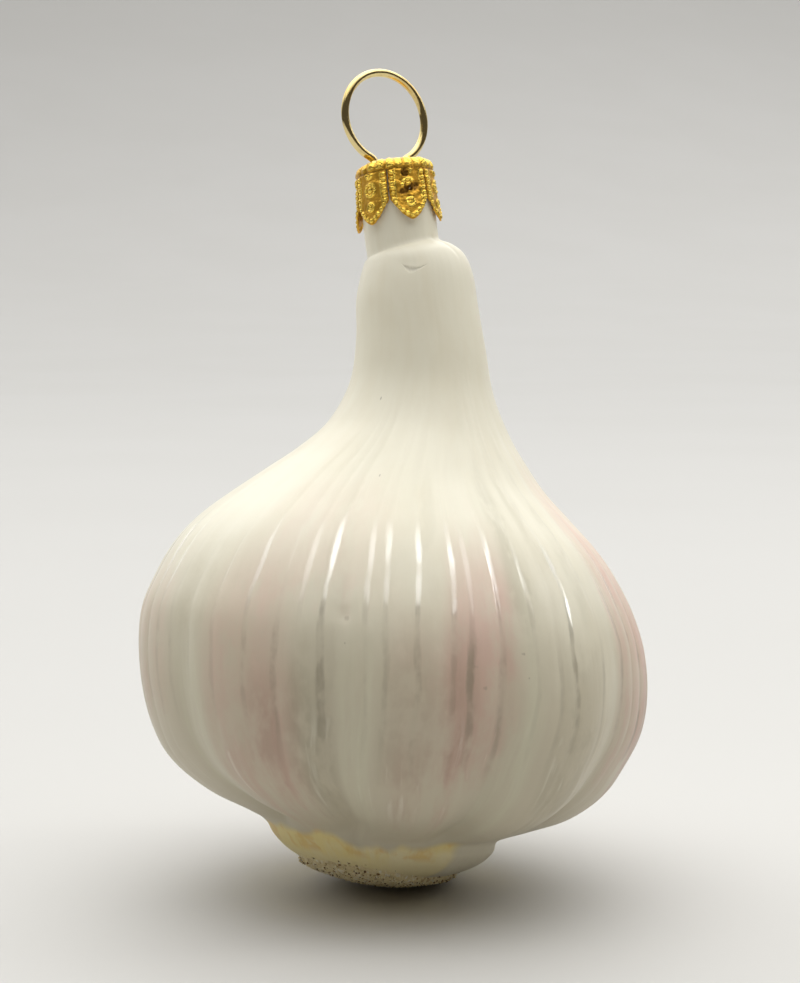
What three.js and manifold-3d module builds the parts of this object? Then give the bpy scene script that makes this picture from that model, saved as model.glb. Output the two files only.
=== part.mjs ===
// A blown-glass Christmas ornament in the shape of a garlic bulb, standing on its sanded root disc.
// Millimetres, +Z up, front towards -Y. The origin is the middle of the small flat spot it rests on.
// The glass is one thin blown shell, open at the top of its neck tube. A crust of grit covers the
// underside of the root disc, a stamped six-petal cap sits on the neck, and a wire ring hooks into it.
import * as THREE from 'three';
import Module from 'manifold-3d';

const DEG = Math.PI / 180;

// How the ornament stands: it leans back and a little to its right on the edge of the root disc.
const LEAN_BACK = 8 * DEG;
const LEAN_RIGHT = 5 * DEG;
const DISC_POLE = new THREE.Vector3(-3.35, -5.55, 0.15);

// Blown glass: the outline of the bulb about its own axis, from the root disc to the top of the neck.
// Each row is a height, a radius, a sideways shift of the ring and a tilt of the ring in degrees.
const WALL = 0.9;
const DISC_SIDE = 0.95;
const DISC_SIDES = 44;
const STEM_SIDES = 44;
const NECK_SIDES = 32;
const INSIDE_SIDES = 36;
const OUTLINE = [
  [1.15, 0.0, DISC_SIDE, 0],
  [1.6, 5.4, DISC_SIDE, 0],
  [2.65, 9.5, DISC_SIDE, 0],
  [4.2, 12.9, DISC_SIDE, 0],
  [6.0, 14.9, 0.8, 0],
  [7.7, 15.8, 0.5, 0],
  [9.3, 18.4, 1.2, 0],
  [11.6, 24.0, 1.1, 0],
  [15.0, 28.8, 0.6, 0],
  [19.0, 31.6, 0.3, 0],
  [24.0, 33.6, 0.3, 0],
  [29.5, 34.35, 0.0, 0],
  [35.0, 34.0, -0.5, 0],
  [40.0, 32.25, -0.7, 0],
  [44.5, 29.8, -0.9, 0],
  [48.0, 27.0, -0.9, 0],
  [51.5, 23.2, -0.8, 0],
  [55.0, 19.2, -0.5, 0],
  [58.5, 15.65, 0.25, 0],
  [62.5, 12.4, 0.75, 0],
  [68.0, 9.9, 0.6, 0],
  [74.0, 8.95, 0.0, 0],
  [79.5, 8.4, -1.0, 3],
  [83.2, 7.8, -1.4, 7],
  [85.4, 7.05, -1.95, 12],
  [86.4, 6.15, -2.75, 16],
  [86.9, 5.2, -3.45, 19],
  [88.1, 5.05, -3.85, 14],
  [90.8, 5.05, -4.4, 11.6],
  [94.0, 4.95, -5.05, 11.6],
  [95.4, 4.85, -5.35, 11.6],
  [97.65, 4.85, -5.81, 11.6],
];
const FIRST_BULB_ROW = 5;
const FIRST_STEM_ROW = 19;
const LAST_STEM_ROW = 23;
const FIRST_NECK_ROW = 26;

// Nine cloves show through the skin. Each row is the azimuth of a clove's left edge, in degrees from
// the front towards the right, and how much the clove stands out beside its neighbours. They bulge
// outwards most near their bottoms, which also hang down a little round the root disc.
const CLOVES = [
  [-95, 1.0], [-52, 1.0], [-13, 1.1], [25, 1.35], [59, 0.9], [100, 1.1], [141, 0.9], [183, 1.2], [224, 1.0],
];
const CLOVE_BULGE = [
  [7.7, 0], [9.3, 1.3], [12, 1.9], [16, 1.8], [22, 1.4], [30, 1.0], [40, 0.8], [50, 0.55], [62, 0.2], [70, 0],
];
const CLOVE_DROOP = [[7.7, 0], [9.3, 1.1], [15, 0.5], [20, 0]];
const CLOVE_MEAN = 0.72;
const CLOVE_ROUNDNESS = 0.7;

// Fine ribs in the skin run from the root disc to the stem.
const RIBS = 44;
const RIB_HEIGHT = [[8.5, 0], [12, 0.2], [18, 0.3], [46, 0.3], [56, 0.2], [66, 0]];
const RIB_JITTER = 0.3;

// Neck tube, cap and wire ring share an axis that leans away from the bulb's own.
const NECK_BASE = new THREE.Vector3(-3.4, 0, 85.9);
const NECK_LEAN = -11.6 * DEG;

// Stamped metal cap, heights measured up the neck axis from its base.
const CAP_SHEET = 0.33;
const CAP_TOP = 13.35;
const CAP_DOME = 0.35;
const CAP_SHOULDER = 0.78;
const CAP_RADIUS = 5.38;
const PETALS = 6;
const PETAL_TURN = 18 * DEG;
const PETAL_SLIT = 1.6 * DEG;
const PETAL_ACROSS = 6;
const PETAL_DOWN = 8;
const PETAL_START = 11.5;
const PETAL_SIDE_END = 7.2;
const PETAL_TIP_END = 4.2;
const PETAL_FLARE = 0.5;
const PETAL_POINT = 1.6;
const CAP_TOP_RINGS = [1.7, 3.4, CAP_RADIUS - CAP_SHOULDER];
const CAP_SHOULDER_TURNS = [45 * DEG, 90 * DEG];
const SLIT_ROW = CAP_TOP_RINGS.length + CAP_SHOULDER_TURNS.length;
const BEAD = 0.14;
const HOLE_RADIUS = 0.8;
const HOLE_SIDES = 14;
const DRILL_LENGTH = 3;

// Wire ring.
const WIRE = 1.1;
const WIRE_SIDES = 10;
const LOOP_RADIUS = 6.35;
const LOOP_CENTRE = new THREE.Vector3(-0.37, 0, 19.53);
const LOOP_TURN = 31.5 * DEG;
const LOOP_ARC = 150 * DEG;
const LOOP_POINTS = 14;
const WIRE_STEPS = 56;
const LEG = [[2.75, 13.1], [2.62, 12.3], [2.7, 10.4], [2.9, 8.2], [3.0, 6.4]];

// Grit crust under the root disc.
const FOOT_RADIUS = 4.2;
const CRUST_RIM = 12.0;
const CRUST_SIDE = 1.4;
const CRUST_BARE = 1.6;
const CRUST_BARE_AZIMUTH = 60 * DEG;
const CRUST_EDGE = 0.2;
const CRUST_GAP = 0.3;
const CRUST_SIDES = 40;
const CRUST_CLEAR = 0.02;
const GRIT = 0.22;
const GRIT_PROUD = 0.35;

// Rings of the crust's underside, as shares of the way from the foot to the rim, and of its seat
// against the disc, as distances in from the rim.
const UNDERSIDE_SHARES = [0.3, 0.6, 0.85, 1];
const SEAT_INSETS = [0.3, 1.8, 3.6, 5.8, 8.4];

// Height of the crust's underside over the disc's pole, at a distance from the disc's middle.
const CRUST_UNDERSIDE = [[0, 0.25], [3, 0.4], [5.4, 0.85], [7.5, 1.35], [9.5, 1.9], [11, 2.5], [13, 3.8]];

// A repeatable number from 0 to 1 for a whole number or a pair of them.
function chance(a, b = 0) {
  const value = Math.sin(a * 12.9898 + b * 78.233) * 43758.5453;
  return value - Math.floor(value);
}

// Straight-line reading of a table of [place, value] pairs.
function along(table, place) {
  let before = table[0];
  for (const row of table) {
    if (row[0] >= place) {
      const span = row[0] - before[0];
      return span > 0 ? before[1] + (row[1] - before[1]) * (place - before[0]) / span : row[1];
    }
    before = row;
  }
  return before[1];
}

// The outline at a row number, whole or between two rows, on a Catmull-Rom curve through the rows.
function outlineAt(row) {
  const last = OUTLINE.length - 1;
  const i = Math.min(Math.floor(row), last - 1);
  const w = row - i;
  const values = OUTLINE[i].map((here, k) => {
    const next = OUTLINE[i + 1][k];
    const slopeHere = (next - OUTLINE[Math.max(i - 1, 0)][k]) / 2;
    const slopeNext = (OUTLINE[Math.min(i + 2, last)][k] - here) / 2;
    const cubic = 2 * here - 2 * next + slopeHere + slopeNext;
    const square = -3 * here + 3 * next - 2 * slopeHere - slopeNext;
    return ((cubic * w + square) * w + slopeHere) * w + here;
  });
  return { height: values[0], radius: values[1], side: values[2], tilt: values[3] * DEG };
}

// The outline moved inwards, square to itself, by the thickness of the glass.
function innerOutlineAt(row) {
  const step = 0.05;
  const here = outlineAt(row);
  const below = outlineAt(row - step);
  const above = outlineAt(row + step);
  const rise = above.height - below.height;
  const run = above.radius - below.radius;
  const length = Math.hypot(rise, run);
  here.radius -= WALL * rise / length;
  here.height += WALL * run / length;
  return here;
}

// How full the cloves are at an azimuth: about 1 in the middle of one, 0 in the groove beside it.
function cloveFullness(azimuth) {
  const turn = 360;
  const start = CLOVES[0][0];
  const angle = start + (((azimuth / DEG - start) % turn) + turn) % turn;
  let i = CLOVES.length - 1;
  while (CLOVES[i][0] > angle) i -= 1;
  const [edge, size] = CLOVES[i];
  const next = i + 1 < CLOVES.length ? CLOVES[i + 1][0] : start + turn;
  const across = Math.min(Math.max((angle - edge) / (next - edge), 0), 1);
  return size * Math.sin(Math.PI * across) ** CLOVE_ROUNDNESS;
}

// One ring of points of the glass. A rib column on the outside alternates crest and trough.
function glassRing(place, count, ribbed) {
  const points = [];
  for (let k = 0; k < count; k += 1) {
    const nudge = ribbed ? RIB_JITTER * (chance(k) - 0.5) : 0;
    const azimuth = 2 * Math.PI * (k + nudge) / count;
    const fullness = cloveFullness(azimuth) - CLOVE_MEAN;
    const height = place.height - fullness * along(CLOVE_DROOP, place.height);
    let radius = place.radius + fullness * along(CLOVE_BULGE, place.height);
    if (ribbed) {
      const side = k % 2 === 0 ? 1 : -1;
      radius += side * (0.6 + 0.4 * chance(k, 3)) * along(RIB_HEIGHT, place.height);
    }
    points.push(new THREE.Vector3(
      place.side + radius * Math.sin(azimuth) * Math.cos(place.tilt),
      -radius * Math.cos(azimuth),
      height + radius * Math.sin(azimuth) * Math.sin(place.tilt),
    ));
  }
  return points;
}

// A closed skin made of rings of points, each joined to the next whatever their counts.
class Skin {
  constructor() {
    this.points = [];
    this.faces = [];
  }

  add(points) {
    const ring = { start: this.points.length, count: points.length };
    this.points.push(...points);
    return ring;
  }

  face(a, b, c) {
    if (a !== b && b !== c && a !== c) this.faces.push([a, b, c]);
  }

  join(a, b) {
    let i = 0;
    let j = 0;
    while (i < a.count || j < b.count) {
      const here = a.start + i % a.count;
      const there = b.start + j % b.count;
      if (j >= b.count || (i < a.count && (i + 1) / a.count <= (j + 1) / b.count)) {
        this.face(here, a.start + (i + 1) % a.count, there);
        i += 1;
      } else {
        this.face(here, b.start + (j + 1) % b.count, there);
        j += 1;
      }
    }
  }

  stack(rings) {
    const added = rings.map((ring) => this.add(ring));
    for (let i = 0; i + 1 < added.length; i += 1) this.join(added[i], added[i + 1]);
    return this;
  }

  geometry() {
    const geometry = new THREE.BufferGeometry();
    const flat = this.points.flatMap((p) => [p.x, p.y, p.z]);
    geometry.setAttribute('position', new THREE.Float32BufferAttribute(flat, 3));
    geometry.setIndex(this.faces.flat());
    return geometry;
  }
}

// The blown shell: up the outside, over the rim of the neck and down the inside, which runs straight
// across the crease between the bulb and the root disc.
function glassGeometry() {
  const rings = [[new THREE.Vector3(OUTLINE[0][2], 0, OUTLINE[0][0])]];
  for (let row = 1; row < FIRST_BULB_ROW; row += 1) {
    rings.push(glassRing(outlineAt(row), DISC_SIDES, false));
  }
  for (let row = FIRST_BULB_ROW; row < FIRST_STEM_ROW; row += 0.5) {
    rings.push(glassRing(outlineAt(row), 2 * RIBS, true));
  }
  for (let row = FIRST_STEM_ROW; row < FIRST_NECK_ROW; row += 1) {
    rings.push(glassRing(outlineAt(row), STEM_SIDES, false));
  }
  for (let row = FIRST_NECK_ROW; row < OUTLINE.length; row += 1) {
    rings.push(glassRing(outlineAt(row), NECK_SIDES, false));
  }
  for (let row = OUTLINE.length - 1; row >= FIRST_NECK_ROW; row -= 1) {
    const bore = outlineAt(row);
    bore.radius -= WALL;
    rings.push(glassRing(bore, NECK_SIDES, false));
  }
  for (let row = LAST_STEM_ROW; row > 0; row -= 1) {
    const crease = row === FIRST_BULB_ROW || row === FIRST_BULB_ROW + 1;
    if (!crease) rings.push(glassRing(innerOutlineAt(row), INSIDE_SIDES, false));
  }
  rings.push([new THREE.Vector3(OUTLINE[0][2], 0, OUTLINE[0][0] + WALL)]);
  return new Skin().stack(rings).geometry();
}

// The grit crust, in the ornament's own frame, so that its foot is truly flat on the ground. Seen from
// the front and right the disc's edge is bare, so the crust's rim draws in there.
function crustGeometry(bulbToGround) {
  const groundToBulb = bulbToGround.clone().invert();
  const around = (radius, azimuth) => [radius * Math.sin(azimuth), -radius * Math.cos(azimuth)];
  const rimAt = (azimuth, inset) => {
    const bare = CRUST_BARE * Math.max(0, Math.cos(azimuth - CRUST_BARE_AZIMUTH)) ** 2;
    const [x, y] = around(CRUST_RIM - inset - bare, azimuth);
    return [x + CRUST_SIDE, y];
  };
  const underside = (x, y, lift) => {
    const height = along(CRUST_UNDERSIDE, Math.hypot(x - DISC_SIDE, y)) + lift;
    const point = new THREE.Vector3(x, y, height).applyMatrix4(bulbToGround);
    point.z = Math.max(point.z, CRUST_CLEAR);
    return point;
  };
  const disc = OUTLINE.slice(0, FIRST_BULB_ROW - 1).map(([height, radius]) => [radius, height]);
  const seat = (x, y) => {
    const height = along(disc, Math.hypot(x - DISC_SIDE, y)) - CRUST_GAP;
    return new THREE.Vector3(x, y, height).applyMatrix4(bulbToGround);
  };
  const columns = Array.from({ length: CRUST_SIDES }, (_, k) => 2 * Math.PI * k / CRUST_SIDES);
  const ring = (place) => columns.map(place);
  const footAt = (azimuth) => new THREE.Vector3(...around(FOOT_RADIUS, azimuth), 0);

  const rings = [[new THREE.Vector3(0, 0, 0)], ring(footAt)];
  for (const [number, share] of UNDERSIDE_SHARES.entries()) {
    rings.push(ring((azimuth, k) => {
      const foot = footAt(azimuth).applyMatrix4(groundToBulb);
      const [rimX, rimY] = rimAt(azimuth, 0);
      const bump = GRIT * (chance(k, number) - GRIT_PROUD);
      const lift = share === 1 ? bump + CRUST_EDGE : bump;
      return underside(foot.x + (rimX - foot.x) * share, foot.y + (rimY - foot.y) * share, lift);
    }));
  }
  for (const inset of SEAT_INSETS) {
    rings.push(ring((azimuth) => seat(...rimAt(azimuth, inset))));
  }
  rings.push([seat(DISC_SIDE, 0)]);
  return new Skin().stack(rings).geometry();
}

// Height of a petal's edge, by how far across the petal, from -1 to 1: a pointed arch.
function petalEnd(across) {
  const arch = 1 - Math.abs(across) ** PETAL_POINT;
  return PETAL_SIDE_END + (PETAL_TIP_END - PETAL_SIDE_END) * arch;
}

// How far the stamping stands out of a petal: beads round its border and bosses down its middle.
function stamping(row, down, across) {
  const border = (Math.abs(across) > 0.9 || down > 0.95) && row % 2 === 0;
  const boss = Math.abs(across) < 0.1 && row % 3 === 0;
  return border || boss ? BEAD : 0;
}

// One point of the cap's skin, at a row of the grid and an azimuth, on its outer or inner face.
function capPoint(row, azimuth, across, inner) {
  const sheet = inner ? CAP_SHEET : 0;
  const flat = CAP_RADIUS - CAP_SHOULDER;
  let radius;
  let height;
  if (row < CAP_TOP_RINGS.length) {
    radius = CAP_TOP_RINGS[row];
    height = CAP_TOP - CAP_DOME * (radius / flat) ** 2 - sheet;
  } else if (row < SLIT_ROW) {
    const turn = CAP_SHOULDER_TURNS[row - CAP_TOP_RINGS.length];
    radius = flat + (CAP_SHOULDER - sheet) * Math.sin(turn);
    height = CAP_TOP - CAP_DOME - CAP_SHOULDER + (CAP_SHOULDER - sheet) * Math.cos(turn);
  } else {
    const down = (row - SLIT_ROW) / PETAL_DOWN;
    height = PETAL_START + (petalEnd(across) - PETAL_START) * down;
    const drop = (PETAL_START - height) / (PETAL_START - PETAL_TIP_END);
    radius = CAP_RADIUS - sheet + PETAL_FLARE * drop ** 1.5 + (inner ? 0 : stamping(row, down, across));
  }
  return new THREE.Vector3(radius * Math.sin(azimuth), -radius * Math.cos(azimuth), height);
}

// The cap: a grid of points on each face of the sheet, sewn together round the petals' edges.
function capGeometry() {
  const skin = new Skin();
  const width = PETAL_ACROSS + 1;
  const columns = PETALS * width;
  const lastRow = SLIT_ROW + PETAL_DOWN;
  const half = Math.PI / PETALS - PETAL_SLIT;
  const grids = [false, true].map((inner) => {
    const rows = [];
    for (let row = 0; row <= lastRow; row += 1) {
      const points = [];
      for (let k = 0; k < columns; k += 1) {
        const petal = Math.floor(k / width);
        const across = 2 * (k % width) / PETAL_ACROSS - 1;
        const azimuth = PETAL_TURN + petal * 2 * Math.PI / PETALS + across * half;
        points.push(capPoint(row, azimuth, across, inner));
      }
      rows.push(skin.add(points).start);
    }
    const top = new THREE.Vector3(0, 0, CAP_TOP - (inner ? CAP_SHEET : 0));
    return { rows, pole: skin.add([top]).start };
  });
  const quad = (a, b, c, d, flip) => {
    if (flip) {
      skin.face(a, c, b);
      skin.face(a, d, c);
    } else {
      skin.face(a, b, c);
      skin.face(a, c, d);
    }
  };
  for (const [face, grid] of grids.entries()) {
    const flip = face === 1;
    for (let k = 0; k < columns; k += 1) {
      const next = (k + 1) % columns;
      const ring = grid.rows[0];
      if (flip) skin.face(grid.pole, ring + next, ring + k);
      else skin.face(grid.pole, ring + k, ring + next);
      for (let row = 0; row < lastRow; row += 1) {
        const across = k % width < PETAL_ACROSS;
        if (row < SLIT_ROW || across) {
          const upper = grid.rows[row];
          const lower = grid.rows[row + 1];
          quad(upper + k, lower + k, lower + next, upper + next, flip);
        }
      }
    }
  }
  const [outer, inner] = grids;
  const sew = (rowA, kA, rowB, kB) => quad(
    outer.rows[rowA] + kA, inner.rows[rowA] + kA, inner.rows[rowB] + kB, outer.rows[rowB] + kB, false,
  );
  for (let k = 0; k < columns; k += 1) {
    const next = (k + 1) % columns;
    if (k % width < PETAL_ACROSS) sew(lastRow, k, lastRow, next);
    else sew(SLIT_ROW, k, SLIT_ROW, next);
    for (let row = SLIT_ROW; row < lastRow; row += 1) {
      if (k % width === 0) sew(row, k, row + 1, k);
      if (k % width === PETAL_ACROSS) sew(row + 1, k, row, k);
    }
  }
  return skin.geometry();
}

// The wire: a round loop whose two legs pass through the cap and spread inside the neck.
function wireGeometry() {
  const points = [];
  const place = (across, height) => new THREE.Vector3(
    LOOP_CENTRE.x + across * Math.cos(LOOP_TURN), across * Math.sin(LOOP_TURN), height,
  );
  for (const [across, height] of [...LEG].reverse()) points.push(place(-across, height));
  for (let i = 0; i <= LOOP_POINTS; i += 1) {
    const angle = LOOP_ARC * (2 * i / LOOP_POINTS - 1);
    points.push(place(LOOP_RADIUS * Math.sin(angle), LOOP_CENTRE.z + LOOP_RADIUS * Math.cos(angle)));
  }
  for (const [across, height] of LEG) points.push(place(across, height));
  const section = new THREE.Shape();
  section.absarc(0, 0, WIRE / 2, 0, 2 * Math.PI);
  return new THREE.ExtrudeGeometry(section, {
    steps: WIRE_STEPS,
    curveSegments: WIRE_SIDES / 2,
    extrudePath: new THREE.CatmullRomCurve3(points),
  });
}

const wasm = await Module();
wasm.setup();

// A three.js geometry as a solid for cutting, and back again.
function toSolid(geometry) {
  const at = geometry.getAttribute('position');
  const known = new Map();
  const corners = [];
  const number = Array.from({ length: at.count }, (_, i) => {
    const key = [at.getX(i), at.getY(i), at.getZ(i)].map((value) => value.toFixed(5)).join(' ');
    if (!known.has(key)) {
      known.set(key, corners.length / 3);
      corners.push(at.getX(i), at.getY(i), at.getZ(i));
    }
    return known.get(key);
  });
  const order = geometry.index ? Array.from(geometry.index.array) : number.map((_, i) => i);
  const triVerts = new Uint32Array(order.map((i) => number[i]));
  const vertProperties = new Float32Array(corners);
  return new wasm.Manifold(new wasm.Mesh({ numProp: 3, vertProperties, triVerts }));
}

function fromSolid(solid) {
  const mesh = solid.getMesh();
  const geometry = new THREE.BufferGeometry();
  geometry.setAttribute('position', new THREE.BufferAttribute(mesh.vertProperties, 3));
  geometry.setIndex(new THREE.BufferAttribute(mesh.triVerts, 1));
  return geometry;
}

// The cap with a hole for each leg of the wire.
function piercedCap() {
  let cap = toSolid(capGeometry());
  for (const side of [-1, 1]) {
    const across = side * LEG[0][0];
    const drill = new THREE.CylinderGeometry(HOLE_RADIUS, HOLE_RADIUS, DRILL_LENGTH, HOLE_SIDES);
    drill.rotateX(Math.PI / 2);
    drill.translate(
      LOOP_CENTRE.x + across * Math.cos(LOOP_TURN), across * Math.sin(LOOP_TURN), CAP_TOP,
    );
    cap = cap.subtract(toSolid(drill));
  }
  return fromSolid(cap);
}

function piece(name, geometry, colour, roughness, metalness) {
  const material = new THREE.MeshStandardMaterial({ color: colour, roughness, metalness });
  const mesh = new THREE.Mesh(geometry, material);
  mesh.name = name;
  return mesh;
}

const ornament = new THREE.Group();

const bulb = new THREE.Group();
bulb.rotation.set(-LEAN_BACK, LEAN_RIGHT, 0);
bulb.position.copy(DISC_POLE);
bulb.updateMatrix();
bulb.add(piece('glass_bulb', glassGeometry(), 0xf0e8da, 0.35, 0));

const neck = new THREE.Group();
neck.position.copy(NECK_BASE);
neck.rotation.y = NECK_LEAN;
neck.add(piece('cap', piercedCap(), 0xd9a026, 0.3, 1));
neck.add(piece('hanger_wire', wireGeometry(), 0xb9a468, 0.2, 1));
bulb.add(neck);

ornament.add(bulb);
ornament.add(piece('root_crust', crustGeometry(bulb.matrix), 0xb59f74, 0.95, 0));

export default ornament;
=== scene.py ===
"""Dresses a blown-glass garlic ornament: lacquered glass, sanded root disc, stamped cap and wire ring.

Lengths are millimetres in the ornament's own frame and turn into metres when a mesh is made.
Azimuth 0 faces the front, -Y, and grows towards the right.
"""
import math

import bmesh
import bpy
import numpy as np
from mathutils import Matrix, Vector, noise


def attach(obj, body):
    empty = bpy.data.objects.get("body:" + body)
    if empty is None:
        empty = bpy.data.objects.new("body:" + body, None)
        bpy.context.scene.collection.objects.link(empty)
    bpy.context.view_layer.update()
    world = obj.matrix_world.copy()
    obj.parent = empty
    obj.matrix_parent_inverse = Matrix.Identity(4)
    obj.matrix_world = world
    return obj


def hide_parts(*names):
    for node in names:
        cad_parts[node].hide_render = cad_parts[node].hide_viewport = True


bl_info = {
    "name": "Glass Garlic Ornament",
    "version": (1, 0, 0),
    "blender": (4, 5, 0),
    "location": "View3D > Sidebar > Ornament",
    "description": "Builds a blown-glass garlic ornament with its cap, its ring and a plain studio",
    "category": "Add Mesh",
}

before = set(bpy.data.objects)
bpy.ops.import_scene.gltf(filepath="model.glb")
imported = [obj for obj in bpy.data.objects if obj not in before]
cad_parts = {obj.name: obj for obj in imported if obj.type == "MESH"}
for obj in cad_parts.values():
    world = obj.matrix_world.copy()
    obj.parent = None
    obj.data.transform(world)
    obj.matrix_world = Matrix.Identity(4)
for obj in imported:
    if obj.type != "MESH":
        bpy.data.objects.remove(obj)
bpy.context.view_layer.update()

MM = 0.001
DEG = math.pi / 180
TURN = 2 * math.pi

# How the ornament stands: it leans back and a little to its right.
LEAN_BACK = 8 * DEG
LEAN_RIGHT = 5 * DEG
DISC_POLE = Vector((-3.35, -5.55, 0.15))
LEAN = Matrix.Rotation(-LEAN_BACK, 4, "X") @ Matrix.Rotation(LEAN_RIGHT, 4, "Y")
BULB = Matrix.Translation(DISC_POLE) @ LEAN
NECK_FOOT = Vector((-3.4, 0, 85.9))
NECK_BEND = 11.6 * DEG
NECK = BULB @ Matrix.Translation(NECK_FOOT) @ Matrix.Rotation(-NECK_BEND, 4, "Y")

# Outline of the glass about the bulb's axis: height, radius, sideways shift and tilt of the ring.
OUTLINE = np.array([
    (1.15, 0.0, 0.95, 0),
    (1.6, 5.4, 0.95, 0),
    (2.65, 9.5, 0.95, 0),
    (4.2, 12.9, 0.95, 0),
    (6.0, 14.9, 0.8, 0),
    (7.7, 15.8, 0.5, 0),
    (9.3, 18.4, 1.2, 0),
    (11.6, 24.0, 1.1, 0),
    (15.0, 28.8, 0.6, 0),
    (19.0, 31.6, 0.3, 0),
    (24.0, 33.6, 0.3, 0),
    (29.5, 34.35, 0.0, 0),
    (35.0, 34.0, -0.5, 0),
    (40.0, 32.25, -0.7, 0),
    (44.5, 29.8, -0.9, 0),
    (48.0, 27.0, -0.9, 0),
    (51.5, 23.2, -0.8, 0),
    (55.0, 19.2, -0.5, 0),
    (58.5, 15.65, 0.25, 0),
    (62.5, 12.4, 0.75, 0),
    (68.0, 9.9, 0.6, 0),
    (74.0, 8.95, 0.0, 0),
    (79.5, 8.4, -1.0, 3),
    (83.2, 7.8, -1.4, 7),
    (85.4, 7.05, -1.95, 12),
    (86.4, 6.15, -2.75, 16),
    (86.9, 5.2, -3.45, 19),
    (88.1, 5.05, -3.85, 14),
    (90.8, 5.05, -4.4, 11.6),
    (94.0, 4.95, -5.05, 11.6),
    (95.4, 4.85, -5.35, 11.6),
    (97.65, 4.85, -5.81, 11.6),
])
FIRST_BULB_ROW = 5
FIRST_STEM_ROW = 19
FIRST_NECK_ROW = 26
WALL = 0.9
INSIDE_COLUMNS = 88

# Cloves: azimuth of the left edge in degrees, and how much the clove stands out.
CLOVES = [
    (-95, 1.0), (-52, 1.0), (-13, 1.1), (25, 1.35), (59, 0.9),
    (100, 1.1), (141, 0.9), (183, 1.2), (224, 1.0),
]
# How far a clove stands out and hangs down, by height.
CLOVE_BULGE = [
    (7.7, 0), (9.3, 1.3), (12, 1.9), (16, 1.8), (22, 1.4),
    (30, 1.0), (40, 0.8), (50, 0.55), (62, 0.2), (70, 0),
]
CLOVE_DROOP = [(7.7, 0), (9.3, 1.1), (15, 0.5), (20, 0)]
CLOVE_MEAN = 0.72
CLOVE_ROUNDNESS = 0.7
CLOVE_SOFTNESS = 1.6

# Grooves down the glass: azimuth in degrees, then how much each shines and how much glaze it holds.
FRONT_GROOVES = [
    (-56.8, 0.05, 0.35), (-49.5, 0.05, 0.2), (-41, 0.1, 0.3), (-32, 0.45, 0.5), (-24.7, 0.1, 0.8),
    (-20, 0.25, 0.1), (-15, 0.95, 1.0), (-5.4, 0.4, 0.25), (-1.4, 0.55, 0.45), (5.4, 0.8, 0.7),
    (13, 0.95, 0.45), (16.6, 0.3, 1.0), (23.4, 1.0, 0.9), (31.4, 0.3, 0.2), (37.2, 0.05, 0.35),
    (41.5, 1.0, 0.8), (51, 0.1, 0.4), (61, 0.5, 0.6),
]
# Least and most degrees between two made-up grooves, and between two columns of vertices.
GROOVE_GAP = (5.0, 9.0)
COLUMN_GAP = 0.7
# Depth and half width of the sharp line at a groove's bottom.
GROOVE_DIP = 0.07
GROOVE_WIDTH = 0.6
# How strongly the ribs are pressed, by azimuth from -180 to 180 and by height.
RIB_STRENGTH = [(-180, 0.8), (-60, 0.55), (-28, 0.5), (-14, 1), (62, 1), (180, 0.8)]
RIB_FADE = [(8.5, 0), (12, 0.5), (18, 0.8), (30, 1), (44, 1.1), (50, 1.0), (56, 0.6), (62, 0.3), (72, 0)]
RIB_SWAY = 0.9 * DEG
NO_GROOVE = 9

# Marks the mould and the blower left: azimuth in degrees, height, half width, half height, depth, curl.
DENTS = [
    (-8.8, 83.9, 1.9, 0.9, 0.12, 0.12),
    (54, 86.2, 0.5, 1.1, 0.25, 0),
    (33.0, 53.0, 1.4, 9.0, 0.42, 0),
    (45.0, 55.0, 1.2, 9.0, 0.3, 0),
    (21.0, 54.0, 1.0, 7.0, 0.25, 0),
    (6.0, 52.0, 0.9, 6.0, 0.14, 0),
    (-13.0, 47.0, 1.4, 8.0, 0.25, 0),
    (27.0, 50.0, 1.0, 8.0, -0.2, 0),
    (-9.9, 36.4, 0.75, 0.55, 0.32, 0),
    (-12.5, 36.9, 1.1, 0.5, 0.14, 0),
    (42.3, 34.5, 0.5, 0.95, 0.3, 0),
    (42.8, 30.5, 0.5, 1.6, 0.18, 0),
    (17.0, 33.0, 0.8, 1.2, 0.12, 0),
    (44.0, 14.5, 2.2, 0.8, 0.25, 0.15),
    (31.0, 18.0, 0.7, 3.0, -0.16, 0),
    (50.0, 17.5, 0.8, 2.0, -0.14, 0),
    (-17.5, 20.0, 1.2, 0.8, -0.2, -0.3),
    (-35.0, 19.0, 0.6, 3.2, -0.16, 0),
    (-25.0, 18.5, 0.6, 2.4, -0.16, 0),
    (-8.5, 20.0, 0.6, 4.0, -0.12, 0),
]

# Stamped cap, heights measured up the neck axis.
CAP_SHEET = 0.22
CAP_TOP = 13.35
CAP_DOME = 0.35
CAP_SHOULDER = 1.6
CAP_RADIUS = 5.38
CAP_SCALLOPS = 24
CAP_CRUMPLE = 0.12
PETALS = 6
PETAL_TURN = 18 * DEG
PETAL_SLIT = 1.0 * DEG
PETAL_START = 11.2
PETAL_SIDE_END = 7.2
PETAL_TIP_END = 4.2
PETAL_FLARE = 0.5
PETAL_POINT = 1.6
BEAD_GAP = 0.74
BEAD_RADIUS = 0.31

# Wire ring.
LOOP_RADIUS = 6.35
LOOP_CENTRE = Vector((-0.37, 0, 19.53))
LOOP_TURN = 31.5 * DEG
LOOP_ARC = 157 * DEG
LEFT_ARC = 153 * DEG
LEG = [(2.16, 13.3), (2.1, 12.6), (2.3, 11.0), (2.8, 8.2), (3.0, 6.4)]
LEFT_LEG = [(2.5, 13.4), (2.35, 12.6), (2.45, 11.0), (2.8, 8.2), (3.0, 6.4)]
LIP_RADIUS = 0.5

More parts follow.
